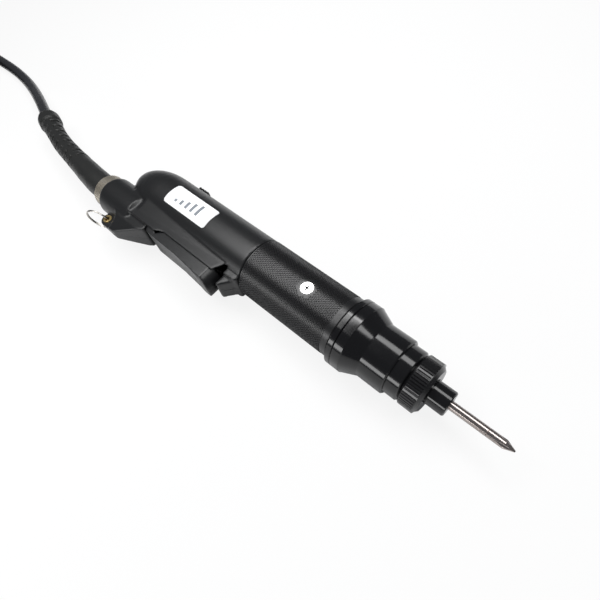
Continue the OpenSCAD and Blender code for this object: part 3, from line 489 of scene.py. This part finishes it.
def rolled_tree():
    tree = bpy.data.node_groups.new("rolled_pattern", "GeometryNodeTree")
    face = tree.interface
    face.new_socket("Geometry", in_out="INPUT", socket_type="NodeSocketGeometry")
    for name, kind in (("Copy", "Object"), ("Rows", "Int"), ("Around", "Int"),
                       ("Start", "Float"), ("End", "Float"), ("Radius", "Float"),
                       ("Bare", "Vector"), ("Bare Radius", "Float"), ("Finish", "Material")):
        face.new_socket(name, in_out="INPUT", socket_type="NodeSocket" + kind)
    face.new_socket("Geometry", in_out="OUTPUT", socket_type="NodeSocketGeometry")
    add = tree.nodes.new
    group_in, group_out = add("NodeGroupInput"), add("NodeGroupOutput")
    g = group_in.outputs

    def calc(operation, a, b=None):
        step = add("ShaderNodeMath")
        step.operation = operation
        for k, value in enumerate((a, b)):
            if value is None:
                continue
            if isinstance(value, (int, float)):
                step.inputs[k].default_value = value
            else:
                link(tree, value, step.inputs[k])
        return step.outputs[0]

    total = calc("MULTIPLY", g["Rows"], g["Around"])
    line = add("GeometryNodePoints")
    link(tree, total, line.inputs["Count"])
    index = add("GeometryNodeInputIndex").outputs[0]
    row = calc("FLOOR", calc("DIVIDE", calc("ADD", index, 0.001), g["Around"]))
    column = calc("SUBTRACT", index, calc("MULTIPLY", row, g["Around"]))
    half = calc("MULTIPLY", calc("MODULO", row, 2), 0.5)
    turn = calc("MULTIPLY", calc("DIVIDE", calc("ADD", column, half), g["Around"]), 2 * math.pi)
    share = calc("DIVIDE", calc("ADD", row, 0.5), g["Rows"])
    along = calc("ADD", g["Start"], calc("MULTIPLY", share, calc("SUBTRACT", g["End"],
                                                                g["Start"])))
    where = add("ShaderNodeCombineXYZ")
    link(tree, along, where.inputs[0])
    link(tree, calc("MULTIPLY", g["Radius"], calc("SINE", turn)), where.inputs[1])
    link(tree, calc("MULTIPLY", g["Radius"], calc("COSINE", turn)), where.inputs[2])
    place = add("GeometryNodeSetPosition")
    link(tree, line.outputs[0], place.inputs["Geometry"])
    link(tree, where.outputs[0], place.inputs["Position"])
    # The pattern stops round the two screw recesses, on opposite sides
    here = add("GeometryNodeInputPosition")
    fold = add("ShaderNodeVectorMath")
    fold.operation = "ABSOLUTE"
    link(tree, here.outputs[0], fold.inputs[0])
    gap = add("ShaderNodeVectorMath")
    gap.operation = "DISTANCE"
    link(tree, fold.outputs[0], gap.inputs[0])
    link(tree, g["Bare"], gap.inputs[1])
    drop = add("GeometryNodeDeleteGeometry")
    drop.domain = "POINT"
    link(tree, place.outputs[0], drop.inputs["Geometry"])
    link(tree, calc("LESS_THAN", gap.outputs["Value"], g["Bare Radius"]),
         drop.inputs["Selection"])
    stand = add("GeometryNodeInstanceOnPoints")
    source = add("GeometryNodeObjectInfo")
    link(tree, g["Copy"], source.inputs["Object"])
    link(tree, drop.outputs[0], stand.inputs["Points"])
    link(tree, source.outputs["Geometry"], stand.inputs["Instance"])
    lean = add("ShaderNodeCombineXYZ")
    axis_at = add("GeometryNodeInputPosition")
    split = add("ShaderNodeSeparateXYZ")
    link(tree, axis_at.outputs[0], split.inputs[0])
    angle = calc("ARCTAN2", split.outputs[1], split.outputs[2])
    link(tree, calc("MULTIPLY", angle, -1), lean.inputs[0])
    to_turn = add("FunctionNodeEulerToRotation")
    link(tree, lean.outputs[0], to_turn.inputs[0])
    link(tree, to_turn.outputs[0], stand.inputs["Rotation"])
    real = add("GeometryNodeRealizeInstances")
    paint = add("GeometryNodeSetMaterial")
    link(tree, stand.outputs[0], real.inputs[0])
    link(tree, real.outputs[0], paint.inputs["Geometry"])
    link(tree, g["Finish"], paint.inputs["Material"])
    link(tree, paint.outputs[0], group_out.inputs[0])
    return tree


rolled = rolled_tree()


def roll(name, copy, **values):
    piece = new_piece(name, bpy.data.meshes.new(name))
    step = piece.modifiers.new("pattern", "NODES")
    step.node_group = rolled
    values["Copy"] = copy
    for key, value in values.items():
        step[socket_of(rolled, key.replace("_", " "))] = value
    apply_modifiers(piece)
    bpy.data.objects.remove(copy)
    print(name, "faces:", len(piece.data.polygons))
    return piece


def low_form(name, base, top, height, sunk):
    """A closed form with two four-point rings, the lower one under the skin."""
    work = bmesh.new()
    rings = [[work.verts.new((x * mm, y * mm, z * mm)) for x, y in ring]
             for ring, z in ((base, -sunk), (top, height))]
    skin_rings(work, rings)
    return piece_from(work, name)


# %% Diamonds of the grip
diamond = low_form("diamond", [(-0.86, 0), (0, -0.64), (0.86, 0), (0, 0.64)],
                   [(-0.4, 0), (0, -0.3), (0.4, 0), (0, 0.3)], 0.3, 0.1)
grip_pattern = roll("grip_diamonds", diamond, Rows=56, Around=72, Start=-107.1 * mm,
                    End=-56.6 * mm, Radius=15.03 * mm, Bare=(74.6 * mm, 0, 15.03 * mm),
                    Bare_Radius=4.7 * mm, Finish=finishes["grip_plastic"])
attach(grip_pattern, "body")

# %% [markdown]
# The rubber boot bends with the cord because it is slit. Its skin is a tube whose radius
# is pressed in wherever a slit falls: two rows of slits, on opposite sides of the boot,
# each row half a step behind the other. Many thin rings let the slits have crisp ends.

# %% Boot
boot_knots = [(-220, -16.3, 0), (-229, -16.3, 0), (-241, -15.3, -0.2), (-253, -14, -0.5),
              (-266, -12.6, -0.9), (-280, -10.8, -1.4), (-292, -8.4, -2), (-306, -4.9, -2.7),
              (-309, -4.1, -2.9), (-315, -2.5, -3.3), (-318, -1.7, -3.5)]
boot_radii = [7.6, 7.6, 7.2, 6.7, 6.3, 6.1, 5.9, 6.1, 7.15, 7.15, 6.4]


def swept(name, line, radius_at, sides):
    """A closed tube along a line of points; radius_at takes the distance and the angle."""
    work = bmesh.new()
    rings, run = [], 0.0
    for k, here in enumerate(line):
        if k:
            run += (here - line[k - 1]).length
        ahead = (line[min(k + 1, len(line) - 1)] - line[max(k - 1, 0)]).normalized()
        side = ahead.cross(Vector((0, 0, 1))).normalized()
        up = side.cross(ahead)
        ring = []
        for i in range(sides):
            a = 2 * math.pi * i / sides
            ring.append(work.verts.new(here + radius_at(run, a) * mm * (
                math.cos(a) * side + math.sin(a) * up)))
        rings.append(ring)
    skin_rings(work, rings)
    piece = piece_from(work, name)
    for face in piece.data.polygons:
        face.use_smooth = len(face.vertices) == 4
    return piece


boot_line = smooth_line(boot_knots, 0.35 * mm)
knot_runs = [0.0]
for a, b in zip(boot_knots, boot_knots[1:]):
    knot_runs.append(knot_runs[-1] + (Vector(b) - Vector(a)).length)
slit_from, slit_to, slit_step, slit_width = 34, 88, 7.2, 2.6


def boot_radius(run, angle):
    s = run / mm
    k = max(0, min(len(knot_runs) - 2, sum(1 for r in knot_runs if r <= s) - 1))
    t = (s - knot_runs[k]) / (knot_runs[k + 1] - knot_runs[k])
    plain = boot_radii[k] + (boot_radii[k + 1] - boot_radii[k]) * eased(max(0, min(1, t)))
    for row, shift in ((0.25 * math.pi, 0), (1.25 * math.pi, 0), (0.75 * math.pi, 0.5),
                       (1.75 * math.pi, 0.5)):
        off = abs((angle - row + math.pi) % (2 * math.pi) - math.pi)
        place = (s - slit_from) / slit_step + shift
        near = abs(place - round(place)) * slit_step
        inside = slit_from < s < slit_to and off < 0.56 and near < slit_width / 2
        if inside:
            edge = min(1, (slit_width / 2 - near) / 0.45, (0.56 - off) / 0.12)
            return plain - 3.2 * edge
    return plain


boot = swept("boot_skin", boot_line, boot_radius, 72)
dress(boot, "body", "boot_rubber", "strain_relief")
print("boot faces:", len(boot.data.polygons))

# %% [markdown]
# A split ring is a wire wound almost twice round, so that a hook can be threaded on. It
# is a tube along a flat helix with tapered ends.

# %% Hanger ring
ring_eye = Vector((-199.6, -30.3, 0))
ring_way = Vector((-0.92, -0.39, 0)).normalized()
ring_side = Vector((0, 0, 1)).cross(ring_way)
ring_up = Vector((0, 0, 1))
ring_r, ring_wire_r, ring_turns, ring_start, ring_spread = 7, 0.42, 1.86, 2.4, 0.76
ring_steps = 149
ring_centre = ring_eye + ring_r * ring_way
ring_line = []
for k in range(ring_steps + 1):
    a = 2 * math.pi * ring_turns * k / ring_steps + ring_start
    ring_line.append((ring_centre + ring_r * (math.cos(a) * ring_way + math.sin(a) * ring_up)
                      + (k / ring_steps - 0.5) * ring_spread * ring_side) * mm)


def swept_free(name, line, radius, sides):
    """A thin tube along a line that turns any way, with rounded ends."""
    work = bmesh.new()
    rings = []
    up = Vector((0.2, 0.9, 0.3)).normalized()
    for k, here in enumerate(line):
        ahead = (line[min(k + 1, len(line) - 1)] - line[max(k - 1, 0)]).normalized()
        side = ahead.cross(up).normalized()
        up = side.cross(ahead).normalized()
        ends = min(k, len(line) - 1 - k)
        size = radius * mm * min(1, 0.45 + 0.3 * ends)
        rings.append([work.verts.new(here + size * (math.cos(a) * side + math.sin(a) * up))
                      for a in (2 * math.pi * i / sides for i in range(sides))])
    skin_rings(work, rings)
    piece = piece_from(work, name)
    for face in piece.data.polygons:
        face.use_smooth = True
    return piece


split_ring = swept_free("split_ring", ring_line, ring_wire_r, 12)
dress(split_ring, "hanger", "ring_steel", "hanger_ring")

# %% [markdown]
# The plug's ring is turned with the fingers, so it is knurled. Its solid keeps the turned
# form; a row of rounded ridges is rolled round it with the same tree as the grip.

# %% Ridges of the plug ring
plug_drop = 16.3
ridge = low_form("ridge", [(-2.6, -0.42), (2.6, -0.42), (2.6, 0.42), (-2.6, 0.42)],
                 [(-2.3, -0.16), (2.3, -0.16), (2.3, 0.16), (-2.3, 0.16)], 0.3, 0.2)
plug_ridges = roll("plug_ridges", ridge, Rows=1, Around=44, Start=-218.9 * mm,
                   End=-213.3 * mm, Radius=9.42 * mm, Bare=(0, 0, 0), Bare_Radius=0.0,
                   Finish=finishes["satin_nickel"])
for v in plug_ridges.data.vertices:
    v.co.y -= plug_drop * mm
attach(plug_ridges, "plug_nut")

# %% [markdown]
# The label is a film that follows the round housing. Its outline is a rectangle with
# rounded corners, filled with rings that shrink towards the middle and then rolled on
# the cylinder. A plain scale of five bars is printed by the material, with no words.

# %% Label
label_low, label_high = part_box("label")
label_mid = (label_low[0] + label_high[0]) / 2 / mm
label_half_x = (label_high[0] - label_low[0]) / 2 / mm - 0.05
label_half_y, label_corner, label_r = 6.35, 1.6, 15.33
outline = []
for corner, (sx, sy) in enumerate(((1, 1), (-1, 1), (-1, -1), (1, -1))):
    for k in range(7):
        a = math.radians(90 * corner + 15 * k)
        outline.append((sx * (label_half_x - label_corner) + label_corner * math.cos(a),
                        sy * (label_half_y - label_corner) + label_corner * math.sin(a)))
dense = []
for (x0, y0), (x1, y1) in zip(outline, outline[1:] + outline[:1]):
    count = max(1, round(math.hypot(x1 - x0, y1 - y0) / 0.8))
    dense += [(x0 + (x1 - x0) * k / count, y0 + (y1 - y0) * k / count) for k in range(count)]
work = bmesh.new()
film_rings = []
film_levels = 8
for level in range(1, film_levels + 1):
    ring = []
    for x, y in dense:
        a = y * level / film_levels / label_r
        ring.append(work.verts.new(Vector((label_mid + x * level / film_levels,
                                           label_r * math.sin(a),
                                           label_r * math.cos(a))) * mm))
    film_rings.append(ring)
centre = work.verts.new(Vector((label_mid, 0, label_r)) * mm)
count = len(dense)
for i in range(count):
    j = (i + 1) % count
    work.faces.new((centre, film_rings[0][i], film_rings[0][j]))
    for lower, upper in zip(film_rings, film_rings[1:]):
        work.faces.new((lower[i], upper[i], upper[j], lower[j]))
label = piece_from(work, "label_film")
thick = label.modifiers.new("thick", "SOLIDIFY")
thick.thickness = 0.2 * mm
thick.offset = -1
apply_modifiers(label)
for face in label.data.polygons:
    face.use_smooth = True
dress(label, "body", "label_film", "label")

# %% Bars on the label
tree = finishes["label_film"].node_tree
shader = next(n for n in tree.nodes if n.type == "BSDF_PRINCIPLED")
place = tree.nodes.new("ShaderNodeTexCoord")
split = tree.nodes.new("ShaderNodeSeparateXYZ")
link(tree, place.outputs["Object"], split.inputs[0])


def label_calc(operation, a, b):
    step = tree.nodes.new("ShaderNodeMath")
    step.operation = operation
    for k, value in enumerate((a, b)):
        if isinstance(value, (int, float)):
            step.inputs[k].default_value = value
        else:
            link(tree, value, step.inputs[k])
    return step.outputs[0]


bar_count, bar_pitch, bar_share = 5, 4, 0.45
bar_foot, first_top, bar_rise = -3.2, -1.6, 1.3
bars_half = bar_count * bar_pitch / 2
from_first = label_calc("SUBTRACT", split.outputs[0], (label_mid - bars_half) * mm)
in_pitches = label_calc("DIVIDE", from_first, bar_pitch * mm)
bar_index = label_calc("FLOOR", in_pitches, 0)
in_bar = label_calc("LESS_THAN", label_calc("FRACT", in_pitches, 0), bar_share)
from_middle = label_calc("SUBTRACT", split.outputs[0], label_mid * mm)
in_run = label_calc("LESS_THAN", label_calc("ABSOLUTE", from_middle, 0), bars_half * mm)
bar_top = label_calc("ADD", label_calc("MULTIPLY", bar_index, bar_rise * mm), first_top * mm)
under_top = label_calc("LESS_THAN", split.outputs[1], bar_top)
over_foot = label_calc("GREATER_THAN", split.outputs[1], bar_foot * mm)
ink = label_calc("MULTIPLY", label_calc("MULTIPLY", in_bar, in_run),
                 label_calc("MULTIPLY", under_top, over_foot))
printed = tree.nodes.new("ShaderNodeMix")
printed.data_type = "RGBA"
link(tree, ink, printed.inputs["Factor"])
film_colour = shader.inputs["Base Color"].links[0].from_socket
link(tree, film_colour, printed.inputs[6])
printed.inputs[7].default_value = (0.16, 0.18, 0.2, 1)
link(tree, printed.outputs[2], shader.inputs["Base Color"])
print("label length, mm:", round(2 * label_half_x, 1))

# %% [markdown]
# Turned and machined solids keep their own shape. They only need smooth shading on their
# round faces and crisp edges, which a Smooth by Angle rule gives without touching the
# points.

# %% Smooth shading of the solids
for name, solid in nodes.items():
    if solid.hide_render:
        continue
    crisp = solid.modifiers.new("crisp", "EDGE_SPLIT")
    crisp.split_angle = math.radians(32)
print("shaded")

# %% Final update of the scene
bpy.context.view_layer.update()
